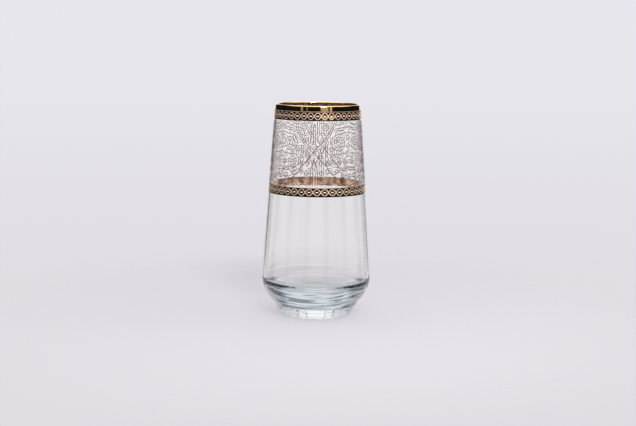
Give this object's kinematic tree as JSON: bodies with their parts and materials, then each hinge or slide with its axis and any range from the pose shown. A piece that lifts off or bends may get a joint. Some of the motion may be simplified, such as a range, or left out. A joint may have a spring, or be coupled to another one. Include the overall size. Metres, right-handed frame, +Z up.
{
  "type": "highball glass",
  "caption": "Tall clear highball glass, narrowing to a gold-banded lip, with gold lattice bands, an etched scroll panel and a heavy solid base.",
  "frame": {"origin": "centre of the flat resting face under the base", "axes": "+Z up along the glass's axis, -Y towards the viewer of the picture, +X to that viewer's right"},
  "size_m": [0.076, 0.076, 0.1476],
  "materials": {
    "clear_glass": "fire-polished clear glass",
    "polished_gold": "bright fired gold, mirror smooth",
    "lattice_gold": "gold over a matte etched lattice, bright in its windows",
    "frosted_etching": "matte etched lines on clear glass"
  },
  "bodies": {
    "root": {"glass_body": "clear_glass", "lip_gold_band": "polished_gold", "upper_lattice_band": "lattice_gold", "scroll_panel": "frosted_etching", "lower_lattice_band": "lattice_gold"}
  },
  "joints": []
}
